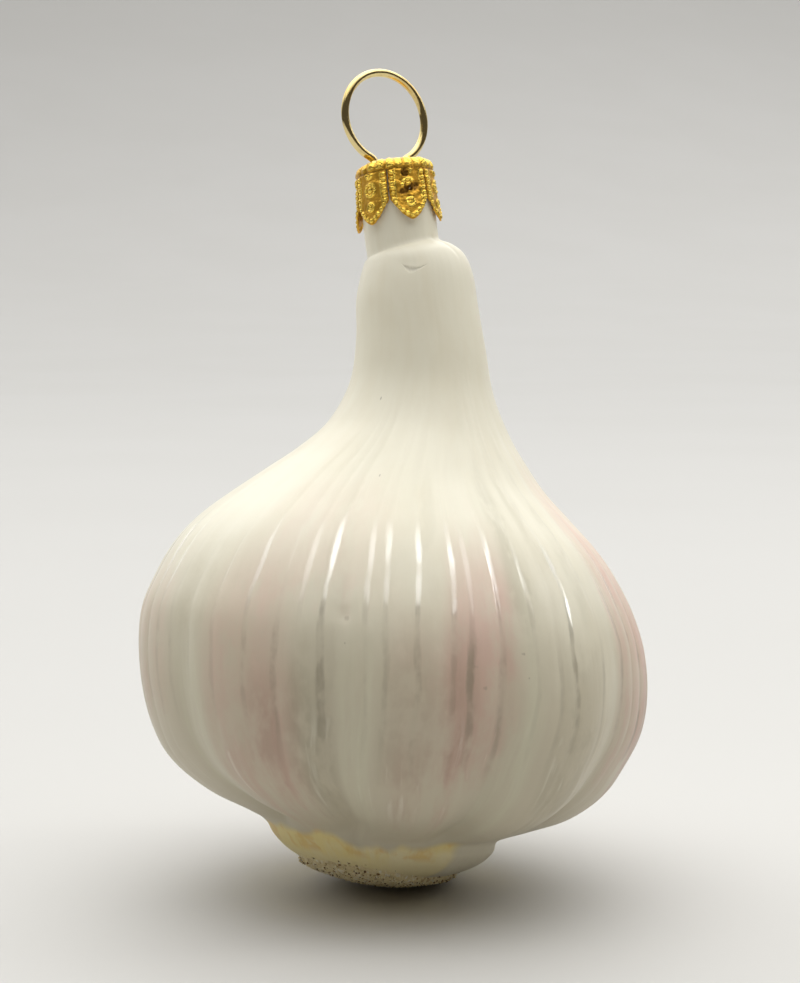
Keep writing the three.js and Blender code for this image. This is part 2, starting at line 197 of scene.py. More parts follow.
# Grit under the root disc.
FOOT_RADIUS = 4.2
CRUST_RIM = 12.0
CRUST_SIDE = 1.4
CRUST_BARE = 2.9
CRUST_UNDERSIDE = [(0, 0.25), (3, 0.4), (5.4, 0.85), (7.5, 1.35), (9.5, 1.9), (11, 2.5), (13, 3.8)]
GRAINS = 2600

# Paper sweep: its edge behind the camera, where it begins to rise, and how far, high and wide it goes.
SWEEP_EDGE = -900
SWEEP_FLAT = 200
SWEEP_START = 1100
SWEEP_RUN = 4500
SWEEP_HIGH = 1500
SWEEP_WIDE = 2200
SWEEP_SLANT = 0.00022

# Camera and lamps, in metres.
CAMERA_PLACE = (0.00022, -0.29819, 0.07944)
CAMERA_PITCH = -5 * DEG
CAMERA_LENS = 99
CAMERA_SENSOR = 36
ROOM_STRENGTH = 1.75
ROOM_TOWARDS = (-0.08, 0.55, 0.83)
SOFT_WHITE = (1.0, 0.99, 0.965)
BACK_WHITE = (1.0, 0.99, 0.97)
WARM_WHITE = (1.0, 0.985, 0.94)

# Fixed tones of the finishes, and of the painted shade and painted highlights on them.
PALE_BAND_TONE = (0.72, 0.71, 0.54, 1)
# Painted shade tone of the darker patches.
SHADE_PATCH_TINT = (0.76, 0.755, 0.72, 1)
# Painted shade between the cloves.
CLOVE_GAP_SHADE = (0.45, 0.41, 0.31, 1)
# Painted highlight tone of the lit rib edges.
LIT_EDGE_TONE = (0.86, 0.83, 0.71, 1)
SPECK_AND_SHADE_TONE = (0.22, 0.18, 0.13, 1)
# Painted shadow under the lip of the stem.
CREASE_SHADOW = (0.40, 0.37, 0.30, 1)
ROOT_CREAM = (0.88, 0.80, 0.56, 1)
ROOT_AMBER = (0.78, 0.56, 0.20, 1)
ROOT_EDGE = (0.86, 0.76, 0.45, 1)
ROOT_WHITE = (0.74, 0.69, 0.54, 1)
DAMP_SAND = (0.60, 0.46, 0.24, 1)
# Painted shade of the cap's low places and of its hollows.
LOW_SHADE_GOLD = (0.60, 0.27, 0.012, 1)
HOLLOW_SHADE_GOLD = (0.12, 0.05, 0.006, 1)
DEEP_WIRE = (0.70, 0.53, 0.22, 1)
PAPER_CLOUD = (0.60, 0.596, 0.586, 1)
DIM_ROOM = (0.05, 0.044, 0.035, 1)


def chance(a, b=0.0):
    """A repeatable number from 0 to 1 for a pair of numbers or arrays."""
    value = np.sin(np.asarray(a) * 12.9898 + b * 78.233) * 43758.5453
    return value - np.floor(value)


def read(table, place):
    """Straight-line reading of a table of (place, value) pairs."""
    places, values = zip(*table)
    return np.interp(place, places, values)


def outline_at(rows):
    """The outline's columns at row numbers, on a Catmull-Rom curve through the rows."""
    last = len(OUTLINE) - 1
    i = np.minimum(np.floor(rows).astype(int), last - 1)
    w = (rows - i)[:, None]
    here, after = OUTLINE[i], OUTLINE[i + 1]
    slope_here = (after - OUTLINE[np.maximum(i - 1, 0)]) / 2
    slope_after = (OUTLINE[np.minimum(i + 2, last)] - here) / 2
    cubic = 2 * here - 2 * after + slope_here + slope_after
    square = -3 * here + 3 * after - 2 * slope_here - slope_after
    return (((cubic * w + square) * w + slope_here) * w + here).T[:, :, None]


def clove_fullness(azimuth):
    """About 1 in the middle of a clove and 0 in the groove beside it, with the groove softened."""
    fine = np.arange(0, 360, 0.25)
    edges = np.array([edge for edge, _ in CLOVES] + [CLOVES[0][0] + 360])
    sizes = np.array([size for _, size in CLOVES])
    angle = edges[0] + (fine - edges[0]) % 360
    i = np.searchsorted(edges, angle, side="right") - 1
    across = (angle - edges[i]) / (edges[i + 1] - edges[i])
    full = sizes[i] * np.sin(math.pi * across) ** CLOVE_ROUNDNESS
    reach = np.minimum(fine, 360 - fine)
    blur = np.exp(-0.5 * (reach / CLOVE_SOFTNESS) ** 2)
    soft = np.fft.ifft(np.fft.fft(full) * np.fft.fft(blur / blur.sum())).real
    return np.interp(np.degrees(azimuth) % 360, fine, soft, period=360)


def all_grooves():
    """The grooves seen from the front, then made-up ones round the rest of the bulb."""
    grooves = list(FRONT_GROOVES)
    low, high = GROOVE_GAP
    last = FRONT_GROOVES[0][0] + 360
    azimuth = grooves[-1][0]
    number = 0
    while azimuth < last - 1.5 * high:
        number += 1
        azimuth += low + (high - low) * float(chance(number, 5))
        grooves.append((azimuth, 0.2 + 0.7 * float(chance(number, 6)), float(chance(number, 7))))
    grooves.append(((azimuth + last) / 2, 0.4, 0.3))
    return np.array(grooves)


def groove_columns():
    """Columns of the glass, one on each groove: azimuth, distance to the groove, crown, shine and glaze."""
    grooves = all_grooves()
    columns = []
    for groove, after in zip(grooves, np.roll(grooves, -1, axis=0)):
        gap = (after[0] - groove[0]) % 360
        steps = round(gap / COLUMN_GAP)
        for step in range(steps):
            share = step / steps
            near = groove if share < 0.5 else after
            crown = min(gap / 7, 1.2) * 4 * share * (1 - share)
            columns.append((groove[0] + gap * share, gap * min(share, 1 - share), crown, near[1], near[2]))
    table = np.array(columns).T
    table[:2] *= DEG
    return table


def wobble(points, scale, seed):
    """Smooth noise from -1 to 1 at each point of a grid, with bumps about the scale in size."""
    flat = points.reshape(-1, 3) / scale + seed * 17.3
    values = [noise.noise(Vector(place)) for place in flat]
    return np.array(values).reshape(points.shape[:-1])


def turned_place(azimuth, heights):
    """A place on a cylinder about the axis, where noise has no seam and runs along the ribs."""
    grid = np.broadcast_arrays(np.sin(azimuth), -np.cos(azimuth), heights)
    return np.stack(grid, axis=-1)


def tilted_rings(azimuth, sides, radius, height, tilts):
    """Points of tilted rings about the bulb's axis."""
    tilt = tilts * DEG
    return np.stack(np.broadcast_arrays(
        sides + radius * np.sin(azimuth) * np.cos(tilt),
        -radius * np.cos(azimuth),
        height + radius * np.sin(azimuth) * np.sin(tilt),
    ), axis=-1)


def glass_rings(rows, settings):
    """Points of the outer skin in the bulb's frame, with the values its lacquer is painted by."""
    heights, radii, sides, tilts = outline_at(rows)
    straight, gap, crown, shine, glaze = groove_columns()
    fade = read(RIB_FADE, heights)
    sway = wobble(turned_place(straight, heights) * np.array((30, 30, 0.9)), 7.0, 9)
    azimuth = straight + RIB_SWAY * fade * sway
    full = clove_fullness(azimuth) - CLOVE_MEAN
    turned = turned_place(azimuth, heights)
    lengthwise = turned * np.array((32, 32, 0.16))
    body = turned * np.array((30, 30, 0.9))
    radius = radii + full * read(CLOVE_BULGE, heights)
    uneven = np.clip(0.6 + 1.3 * wobble(turned * np.array((32, 32, 0.4)), 6.0, 1), 0.05, 1.5)
    uneven = uneven * read(RIB_STRENGTH, (straight / DEG + 180) % 360 - 180)
    reach = gap * radii
    dip = GROOVE_DIP * np.clip(0.5 + shine, 0, 1) * np.exp(-((reach / GROOVE_WIDTH) ** 2))
    radius = radius + fade * uneven * (settings.rib_height * (2 * crown - 1) - dip)
    loose = np.clip((heights - 7.0) / 4, 0, 1) * np.clip((80 - heights) / 30, 0.2, 1)
    radius = radius + loose * settings.unevenness * (
        wobble(body, 11.0, 2) + 0.45 * wobble(lengthwise, 2.6, 3) + 0.25 * wobble(body, 4.0, 4)
    )
    for where, height, half_width, half_height, depth, curl in DENTS:
        across = np.angle(np.exp(1j * (azimuth - where * DEG))) * radii
        along = heights - height - curl * across**2
        radius = radius - depth * np.exp(-((across / half_width) ** 2) - (along / half_height) ** 2)
    height = heights - full * read(CLOVE_DROOP, heights)
    points = tilted_rings(azimuth, sides, radius, height, tilts)
    grid = np.zeros(points.shape[:2])
    values = {
        "turned": turned,
        "up": grid + heights,
        "gap": grid + reach,
        "shine": grid + shine * fade,
        "glaze": grid + glaze * fade,
        "hollow": np.clip(-full / CLOVE_MEAN, 0, 1) * np.clip((70 - heights) / 30, 0, 1),
    }
    return points, values


class Grid:
    """Collects vertices, faces and painted values for one mesh."""

    def __init__(self):
        self.points = []
        self.faces = []
        self.values = {}
        self.count = 0

    def add(self, points, values=None, closed=True, skip=None):
        """Adds rows by columns of points; a closed grid wraps round its columns."""
        rows, columns = points.shape[:2]
        self.points.append(points.reshape(-1, 3))
        for name, value in (values or {}).items():
            self.values.setdefault(name, []).append(value.reshape(rows * columns, -1))
        row, column = np.meshgrid(np.arange(rows - 1), np.arange(columns if closed else columns - 1), indexing="ij")
        here = row * columns + column
        beside = row * columns + (column + 1) % columns
        quads = np.stack([here, beside, beside + columns, here + columns], axis=-1)
        keep = np.ones(row.shape, bool) if skip is None else ~skip(row, column)
        self.faces.append(quads[keep] + self.count)
        self.count += rows * columns

    def mesh(self, name, matrix=None):
        """Makes the object, in metres, with its ends that meet in one point welded."""
        points = np.concatenate(self.points)
        if matrix is not None:
            turn = np.array(matrix)
            points = points @ turn[:3, :3].T + turn[:3, 3]
        mesh = bpy.data.meshes.new(name)
        mesh.from_pydata((points * MM).tolist(), [], np.concatenate(self.faces).tolist())
        for key, parts in self.values.items():
            data = np.concatenate(parts)
            kind, field = ("FLOAT_VECTOR", "vector") if data.shape[1] == 3 else ("FLOAT", "value")
            attribute = mesh.attributes.new(key, kind, "POINT")
            attribute.data.foreach_set(field, data.astype(np.float32).ravel())
        return finish_mesh(mesh, name)


def finish_mesh(mesh, name):
    """Welds points that coincide, shades smooth and links the object."""
    work = bmesh.new()
    work.from_mesh(mesh)
    bmesh.ops.remove_doubles(work, verts=work.verts, dist=1e-7)
    bmesh.ops.dissolve_degenerate(work, edges=work.edges, dist=1e-8)
    work.to_mesh(mesh)
    work.free()
    mesh.polygons.foreach_set("use_smooth", [True] * len(mesh.polygons))
    thing = bpy.data.objects.new(name, mesh)
    bpy.context.scene.collection.objects.link(thing)
    return thing


class Signal:
    """One output of a node, with arithmetic that adds Math nodes."""

    def __init__(self, shader, socket):
        self.shader = shader
        self.socket = socket

    def math(self, operation, *values):
        return self.shader.add("ShaderNodeMath", {"operation": operation}, dict(enumerate(values)))

    def __add__(self, other):
        return self.math("ADD", self, other)

    def __radd__(self, other):
        return self.math("ADD", other, self)

    def __sub__(self, other):
        return self.math("SUBTRACT", self, other)

    def __rsub__(self, other):
        return self.math("SUBTRACT", other, self)

    def __mul__(self, other):
        return self.math("MULTIPLY", self, other)

    def __rmul__(self, other):
        return self.math("MULTIPLY", other, self)

    def __abs__(self):
        return self.math("ABSOLUTE", self)


class Shader:
    """The nodes of a material or a world, made through one method."""

    def __init__(self, name, library="materials", surface="BsdfPrincipled", output="OutputMaterial"):
        self.material = getattr(bpy.data, library).new(name)
        self.material.use_nodes = True
        self.tree = self.material.node_tree
        self.tree.nodes.clear()
        self.surface = self.tree.nodes.new("ShaderNode" + surface)
        end = self.tree.nodes.new("ShaderNode" + output)
        self.tree.links.new(self.surface.outputs[0], end.inputs["Surface"])

    def put(self, node, values):
        for key, value in values.items():
            if isinstance(value, Signal):
                self.tree.links.new(value.socket, node.inputs[key])
            else:
                node.inputs[key].default_value = value

    def add(self, kind, settings, values, output=0):
        node = self.tree.nodes.new(kind)
        for name, value in settings.items():
            if name == "stops":
                ramp = node.color_ramp.elements
                while len(ramp) < len(value):
                    ramp.new(1)
                for stop, (place, colour) in zip(ramp, value):
                    stop.position = place
                    stop.color = colour
            else:
                setattr(node, name, value)
        self.put(node, values)
        return Signal(self, node.outputs[output])

    def painted(self, name, vector=False):
        return self.add("ShaderNodeAttribute", {"attribute_name": name}, {}, "Vector" if vector else "Fac")

    def place(self):
        return self.add("ShaderNodeTexCoord", {}, {}, "Object")

    def stretch(self, vector, factors):
        return self.add("ShaderNodeVectorMath", {"operation": "MULTIPLY"}, {0: vector, 1: factors})

    def facing(self, vector, azimuth):
        """1 where the surface looks to the azimuth, -1 on the far side."""
        to = (math.sin(azimuth * DEG), -math.cos(azimuth * DEG), 0)
        return self.add("ShaderNodeVectorMath", {"operation": "DOT_PRODUCT"}, {0: vector, 1: to}, "Value")

    def noise(self, vector, scale, detail=2.0, roughness=0.5, distortion=0.0):
        values = {"Vector": vector, "Scale": scale, "Detail": detail, "Roughness": roughness}
        return self.add("ShaderNodeTexNoise", {}, {**values, "Distortion": distortion})

    def cells(self, vector, scale, output="Distance"):
        return self.add("ShaderNodeTexVoronoi", {}, {"Vector": vector, "Scale": scale}, output)

    def smooth(self, value, low, high):
        """0 below low, 1 above high and a soft step between; low may be the larger."""
        values = {"Value": value, "From Min": low, "From Max": high, "To Min": 0.0, "To Max": 1.0}
        return self.add("ShaderNodeMapRange", {"interpolation_type": "SMOOTHSTEP"}, values)

    def mix(self, share, first, second):
        return self.add("ShaderNodeMix", {"data_type": "RGBA"}, {0: share, 6: first, 7: second}, 2)

    def tint(self, share, first, second):
        """The first colour, darkened by the second like a glaze over it."""
        settings = {"data_type": "RGBA", "blend_type": "MULTIPLY"}
        return self.add("ShaderNodeMix", settings, {0: share, 6: first, 7: second}, 2)

    def bump(self, height, distance, strength=1.0):
        return self.add("ShaderNodeBump", {}, {"Strength": strength, "Distance": distance, "Height": height})

    def finish(self, **values):
        self.put(self.surface, {name.replace("_", " "): value for name, value in values.items()})
        return self.material


def blush_and_shade_mask(shader, turned, up, patches):
    """How much the listed patches cover at a place, added up, whether airbrushed colour or painted shade."""
    total = 0.0
    for azimuth, half_width, height, half_height, strength in patches:
        near = shader.facing(turned, azimuth)
        side = shader.smooth(near, math.cos(half_width * DEG), math.cos(0.25 * half_width * DEG))
        tall = shader.smooth(abs(up - height), half_height, 0.3 * half_height)
        total = total + side * tall * strength
    return total


# Patches: azimuth, half width in degrees, height, half height, strength. Blushes and pale bands are airbrushed
# colour; the darker patches after them are painted shade in the shoulder's folds and on the lower cloves.
BLUSHES = [
    (20, 11, 33, 22, 0.75), (23, 5, 37, 9, 0.25), (9, 14, 25, 19, 0.5), (-33, 16, 25, 22, 0.65),
    (-25, 9, 21, 12, 0.3), (-20, 26, 46, 12, 0.35), (-69, 15, 31, 16, 0.5), (70, 14, 38, 28, 0.85),
    (84, 14, 28, 22, 0.7), (122, 20, 32, 24, 0.7), (163, 16, 36, 22, 0.6), (-128, 22, 30, 22, 0.7),
]
PALE_BANDS = [
    (-8, 5, 23, 18, 0.8), (-3, 3, 27, 12, 0.4), (29, 6, 22, 20, 0.9), (-50, 7, 23, 16, 0.7), (58, 5, 25, 16, 0.4),
    (100, 8, 24, 18, 0.7), (143, 7, 26, 18, 0.6), (-160, 9, 24, 18, 0.7), (-105, 8, 24, 18, 0.5),
]
SHADE_PATCHES = [
    (-17, 7, 22, 14, 0.9), (-28, 5, 22, 9, 0.5), (4, 8, 24, 13, 0.5), (14, 5, 27, 11, 0.6),
    (44, 8, 23, 15, 0.6), (80, 7, 26, 14, 0.6), (130, 9, 24, 14, 0.6), (180, 9, 24, 14, 0.6),
    (-85, 8, 24, 14, 0.6), (-140, 9, 24, 14, 0.6), (30, 4.5, 46, 14, 0.8), (39, 4, 51, 12, 0.4),
    (48, 3.5, 50, 14, 0.5), (8, 3, 50, 8, 0.25), (-13, 4, 44, 9, 0.25),
]
# Dark specks in the lacquer, and painted shade in the dent at azimuth -9.5 and height 36: azimuth, height, radius,
# strength.
SPECKS_AND_DENT_SHADE = [
    (-29.5, 65.3, 0.26, 0.6), (-9.4, 54.5, 0.2, 0.5), (28.5, 33.5, 0.2, 0.5), (29.4, 30.6, 0.16, 0.5),
    (-9.5, 36.0, 0.3, 0.3), (19.5, 29, 0.26, 0.35), (-9.5, 33, 0.16, 0.4), (17.5, 31.5, 0.2, 0.3),
]


def lacquered_glass(settings):
    """Satin white lacquer with pink blushes, grey glaze down the grooves and a yellow root disc, with painted shade
    on the lower body, in its folds, clove hollows and crease, and painted highlights on rib edges.
    """
    shader = Shader("lacquered_glass")
    turned = shader.painted("turned", vector=True)
    up = shader.painted("up")
    gap = shader.painted("gap")
    shine = shader.painted("shine")
    glaze = shader.painted("glaze")
    hollow = shader.painted("hollow")
    cloud = shader.noise(shader.stretch(turned, (30, 30, 1)), 0.09, 4, 0.55)
    streak = shader.noise(shader.stretch(turned, (30, 30, 0.10)), 0.5, 4, 0.6)
    fine_streak = shader.noise(shader.stretch(turned, (30, 30, 0.2)), 1.2, 3, 0.6)
    blotch = shader.noise(shader.stretch(turned, (30, 30, 0.6)), 0.3, 3, 0.6)
    drift = (blotch - 0.5) * 14 + (streak - 0.5) * 8

    colour = shader.mix(shader.smooth(cloud, 0.35, 0.7), (*settings.cream, 1), (*settings.ivory, 1))
    # Painted shade and painted warm bounce: the lower body turns to the darker, yellower shade tone.
    low = shader.smooth(up + drift * 0.5, 47, 23)
    colour = shader.mix(low * 0.9, colour, (*settings.shade, 1))
    pale = blush_and_shade_mask(shader, turned, up + drift, PALE_BANDS)
    pale = pale * (0.3 + 0.8 * shader.smooth(streak, 0.35, 0.6))
    colour = shader.mix(pale * low * 0.5, colour, PALE_BAND_TONE)
    # Painted shade: darker patches in the folds of the shoulder and on the lower cloves.
    shade_patch = blush_and_shade_mask(shader, turned, up + drift, SHADE_PATCHES)
    shade_patch = shade_patch * (0.3 + 0.9 * shader.smooth(blotch, 0.38, 0.6))
    colour = shader.tint(shade_patch * 0.8, colour, SHADE_PATCH_TINT)
    pink = blush_and_shade_mask(shader, turned, up + drift, BLUSHES)
    pink = pink * (0.5 + 0.45 * shader.smooth(blotch, 0.3, 0.65) + 0.25 * shader.smooth(streak, 0.35, 0.65))
    colour = shader.tint(shader.smooth(pink, 0.0, 1.2), colour, (*settings.blush, 1))

    low_body = shader.smooth(up + drift * 0.4, 38, 32) * shader.smooth(up + drift * 0.6, 16, 27)
    line = shader.smooth(gap - 0.2 * glaze + 0.9 * (fine_streak - 0.5), 0.5, 0.0)
    broken = 0.2 + 0.9 * shader.smooth(blotch, 0.38, 0.6)
    colour = shader.mix(line * glaze * low_body * broken * 0.6, colour, (*settings.glaze, 1))
    # Painted shade in the hollows between the lower cloves.
    colour = shader.mix(hollow * shader.smooth(up, 44, 30) * 0.2, colour, CLOVE_GAP_SHADE)
    # Painted highlight: pale lines on the lit edges of the ribs on the lower body.
    edge = shader.smooth(abs(gap - 0.9), 0.5, 0.1) * shader.smooth(streak, 0.54, 0.62) * shader.smooth(up, 28, 20)
    edge = edge * shader.smooth(up, 10, 14) * shader.smooth(blotch, 0.45, 0.55)
    colour = shader.mix(edge * 0.35, colour, LIT_EDGE_TONE)

    # Dark specks, and the painted shade of one dent.
    for azimuth, height, radius, strength in SPECKS_AND_DENT_SHADE:
        far = (1 - shader.facing(turned, azimuth)) * 2 * 900 + (up - height) * (up - height)
        far = far * (0.6 + 0.8 * fine_streak)
        colour = shader.mix(shader.smooth(far, radius * radius * 2, 0.0) * strength, colour, SPECK_AND_SHADE_TONE)

    # The crease under the lip of the stem's cut top is bumped and painted dark as its shadow.
    across = shader.facing(turned, 85) * 7.9
    fall = across.math("MINIMUM", across, 0.0)
    wedge = shader.smooth(across, 1.4, 0.0) * shader.smooth(across, -1.4, -0.5)
    crease = abs(up - 83.2 - across * across * 0.15 - fall * fall * 0.3 + (fine_streak - 0.5) * 0.3)
    crease = shader.smooth(crease, 0.16 + 0.4 * wedge, 0.0)
    crease = crease * shader.smooth(across, 2.4, 0.8) * shader.smooth(across, -1.5, -0.9)
    colour = shader.mix(crease * 0.4, colour, CREASE_SHADOW)

    patchy = shader.noise(shader.stretch(turned, (15, 15, 1)), 0.30, 3, 0.55, 0.4)
    soft_edge = shader.noise(shader.stretch(turned, (9, 9, 0.3)), 0.5, 1, 0.4)
    disc_edge = up + (soft_edge - 0.5) * 2.6 + 1.2 * shader.smooth(shader.facing(turned, 2), 0.88, 0.98)
    whitish = shader.smooth(shader.facing(turned, 62) + (soft_edge - 0.5) * 0.1, 0.88, 0.96)
    disc = shader.smooth(disc_edge, 8.5, 7.3) * (1 - whitish)
    amber = shader.smooth(patchy, 0.5, 0.62) * shader.smooth(up, 4.8, 6.0)
    cream_patch = shader.smooth(cloud + (streak - 0.5) * 0.3, 0.42, 0.58) * shader.smooth(up, 7.4, 6.2)
    yellow = shader.mix(cream_patch * 0.7, (*settings.root_yellow, 1), ROOT_CREAM)
    yellow = shader.mix(amber * 0.75, yellow, ROOT_AMBER)
    yellow = shader.mix(shader.smooth(up, 5.6, 4.4) * 0.6, yellow, ROOT_EDGE)
    colour = shader.mix(disc, colour, yellow)
    colour = shader.mix(whitish * shader.smooth(up, 8.4, 7.2) * 0.8, colour, ROOT_WHITE)
    root = shader.smooth(up, 9, 6)

    satin = 0.38 + 0.10 * (cloud - 0.5) + 0.10 * (fine_streak - 0.5) + 0.14 * root
    place = shader.place()
    pits = shader.noise(place, 900, 3, 0.6)
    orange_peel = shader.noise(place, 240, 2, 0.5)
    ribbed = shader.smooth(up, 66, 50)
    scored = shader.smooth(gap + 0.4 * (fine_streak - 0.5), 0.5, 0.04) * ribbed
    relief = orange_peel * 0.45 + pits * 0.1 + fine_streak * ribbed * 0.45
    relief = relief - scored * shine * 0.3 - crease * 0.8
    relief = relief + root * (pits * 0.5 + shader.noise(place, 420, 3, 0.6) * 1.6)
    normal = shader.bump(relief, 0.00013, 0.7)
    swell = gap + 0.35 * (0.5 - blotch) + 0.5 * (fine_streak - 0.5)
    sheen_height = up + drift * 0.25
    gloss = shader.smooth(swell, 0.5, 0.12) * shader.smooth(sheen_height, 34.5, 37.5)
    gloss = gloss * shader.smooth(sheen_height, 50, 44)
    gloss = gloss * shine * (0.45 + 0.8 * shader.smooth(blotch, 0.35, 0.6))
    return shader.finish(
        Base_Color=colour, Roughness=satin, Normal=normal, IOR=1.45,
        Coat_Weight=gloss, Coat_Roughness=0.12, Coat_IOR=3.4,
    )


def sanded_grit(settings):
    """Loose sand in every tone from white to dark brown, bound in lacquer."""
    shader = Shader("sanded_grit")
    place = shader.place()
    tone = shader.cells(place, 2600, "Color")
    pick = shader.add("ShaderNodeSeparateColor", {}, {"Color": tone})
    stops = [
        (0.0, (0.22, 0.12, 0.04, 1)), (0.05, (0.50, 0.35, 0.15, 1)), (0.12, (*settings.sand, 1)),
        (0.6, (0.86, 0.75, 0.46, 1)), (0.84, (0.90, 0.81, 0.56, 1)), (1.0, (0.93, 0.88, 0.72, 1)),
    ]
    colour = shader.add("ShaderNodeValToRGB", {"stops": stops}, {"Fac": pick})
    damp = shader.noise(place, 380, 3, 0.6)
    colour = shader.mix(shader.smooth(damp, 0.52, 0.7) * 0.4, colour, DAMP_SAND)
    edge = shader.cells(place, 2600)
    relief = shader.smooth(edge, 0.5, 0.0) + 0.5 * shader.noise(place, 5200, 2, 0.6)
    normal = shader.bump(relief, 0.00022, 0.9)
    return shader.finish(Base_Color=colour, Roughness=0.55 + 0.35 * damp, Normal=normal, IOR=1.45)


def loose_grains(settings):
    """Single grains that stand out of the crust, each with its own tone."""
    shader = Shader("loose_grains")
    tone = shader.painted("tone")
    stops = [
        (0.0, (0.13, 0.07, 0.025, 1)), (0.16, (0.32, 0.20, 0.08, 1)), (0.24, (*settings.sand, 1)),
        (0.7, (0.86, 0.76, 0.48, 1)), (1.0, (0.92, 0.87, 0.70, 1)),
    ]
    chips = shader.noise(shader.place(), 4200, 2, 0.6)
    colour = shader.add("ShaderNodeValToRGB", {"stops": stops}, {"Fac": tone + (chips - 0.5) * 0.2})
    normal = shader.bump(chips, 0.00008)
    return shader.finish(Base_Color=colour, Roughness=0.35 + 0.4 * chips, Normal=normal, IOR=1.5)


def stamped_gold(settings):
    """Bright yellow gold lacquer on thin stamped sheet, with painted shade: browner in the low places and dark in
    the hollows and wire holes.
    """
    shader = Shader("stamped_gold")
    place = shader.place()
    relief = shader.painted("relief")
    crumple = shader.noise(place, 520, 4, 0.6, 0.6)
    grain = shader.noise(place, 2600, 3, 0.6)
    # Painted shade: the low places turn brown and the hollows dark.
    low = shader.smooth(relief + (crumple - 0.5) * 0.5, 0.45, 0.0)
    colour = shader.mix(low * 0.7, (*settings.gold, 1), LOW_SHADE_GOLD)
    hollow = shader.smooth(relief + (crumple - 0.5) * 0.6, -0.1, -0.8)
    colour = shader.mix(hollow * 0.85, colour, HOLLOW_SHADE_GOLD)
    rough = 0.17 + 0.14 * low + 0.14 * (grain - 0.4)
    normal = shader.bump(crumple + 0.2 * grain, 0.0006, 0.8)
    return shader.finish(Base_Color=colour, Roughness=rough, Normal=normal, Metallic=0.8)


def drawn_wire(settings):
    """Polished pale gold wire with fine marks along its length."""
    shader = Shader("drawn_wire")
    place = shader.place()
    drawn = shader.painted("drawn", vector=True)
    marks = shader.noise(shader.stretch(drawn, (1, 1, 0.06)), 5.0, 4, 0.65)
    cloud = shader.noise(place, 300, 3, 0.5)
    colour = shader.mix(shader.smooth(cloud, 0.4, 0.7), (*settings.wire_gold, 1), DEEP_WIRE)
    rough = 0.08 + 0.16 * shader.smooth(marks, 0.5, 0.75) + 0.05 * cloud
    normal = shader.bump(marks, 0.00002, 0.5)
    return shader.finish(Base_Color=colour, Roughness=rough, Normal=normal, Metallic=1.0)


def pale_paper(settings):
    """Plain pale paper, smooth with a faint tooth."""
    shader = Shader("pale_paper")
    place = shader.place()
    tooth = shader.noise(place, 1800, 3, 0.6)
    cloud = shader.noise(place, 5, 2, 0.5)
    colour = shader.mix(shader.smooth(cloud, 0.3, 0.7), (*settings.paper, 1), PAPER_CLOUD)
    normal = shader.bump(tooth, 0.00004, 0.3)
    return shader.finish(Base_Color=colour, Roughness=0.62 + 0.1 * tooth, Normal=normal)


def bright_room(settings):
    """A room that is bright behind and above the ornament and dim in front of it."""
    shader = Shader("bright_room", "worlds", "Background", "OutputWorld")
    towards = shader.add("ShaderNodeTexCoord", {}, {}, "Generated")
    values = {0: towards, 1: ROOM_TOWARDS}
    back = shader.add("ShaderNodeVectorMath", {"operation": "DOT_PRODUCT"}, values, "Value")
    light = shader.smooth(back, 0.25, 0.95)
    colour = shader.mix(light, DIM_ROOM, (*settings.room, 1))
    return shader.finish(Color=colour, Strength=ROOM_STRENGTH)


class GlassSettings(bpy.types.PropertyGroup):
    rib_height: bpy.props.FloatProperty(
        name="Rib height", description="Half a rib's height over its groove, in millimetres",
        default=0.1, min=0,
    )
    unevenness: bpy.props.FloatProperty(
        name="Unevenness", description="Waviness of the hand-blown skin, in millimetres",
        default=0.16, min=0,
    )
    cream: bpy.props.FloatVectorProperty(
        name="Cream", description="Main colour of the lacquer",
        default=(0.94, 0.905, 0.76), subtype="COLOR", size=3,
    )
    ivory: bpy.props.FloatVectorProperty(
        name="Ivory", description="Cloudy second tone of the lacquer",
        default=(0.91, 0.865, 0.71), subtype="COLOR", size=3,
    )
    # Painted shade of the lower body, darker and warmer than the lacquer.
    shade: bpy.props.FloatVectorProperty(
        name="Shade", description="Duller tone of the lower body",
        default=(0.60, 0.54, 0.41), subtype="COLOR", size=3,
    )
    blush: bpy.props.FloatVectorProperty(
        name="Blush", description="Pink tint airbrushed on the cloves",
        default=(0.95, 0.74, 0.77), subtype="COLOR", size=3,
    )
    glaze: bpy.props.FloatVectorProperty(
        name="Glaze", description="Grey-brown glaze in the grooves",
        default=(0.31, 0.27, 0.20), subtype="COLOR", size=3,
    )
    root_yellow: bpy.props.FloatVectorProperty(
        name="Root yellow", description="Yellow of the root disc",
        default=(0.86, 0.73, 0.34), subtype="COLOR", size=3,
    )


class CrustSettings(bpy.types.PropertyGroup):
    grains: bpy.props.IntProperty(
        name="Grains", description="Single grains tried on the crust",
        default=GRAINS, min=0,
    )
    sand: bpy.props.FloatVectorProperty(
        name="Sand", description="Middle tone of the grit",
        default=(0.80, 0.68, 0.40), subtype="COLOR", size=3,
    )


class CapSettings(bpy.types.PropertyGroup):
    bead_height: bpy.props.FloatProperty(
        name="Bead height", description="How far the stamped beads stand out, in millimetres",
        default=0.24, min=0,
    )
    gold: bpy.props.FloatVectorProperty(
        name="Gold", description="Colour of the cap's sheet",
        default=(1.0, 0.70, 0.11), subtype="COLOR", size=3,
    )
    wire_thickness: bpy.props.FloatProperty(
        name="Wire thickness", description="Diameter of the ring's wire, in millimetres",
        default=1.1, min=0.2,
    )
    wire_gold: bpy.props.FloatVectorProperty(
        name="Wire gold", description="Colour of the ring",
        default=(0.80, 0.66, 0.33), subtype="COLOR", size=3,
    )


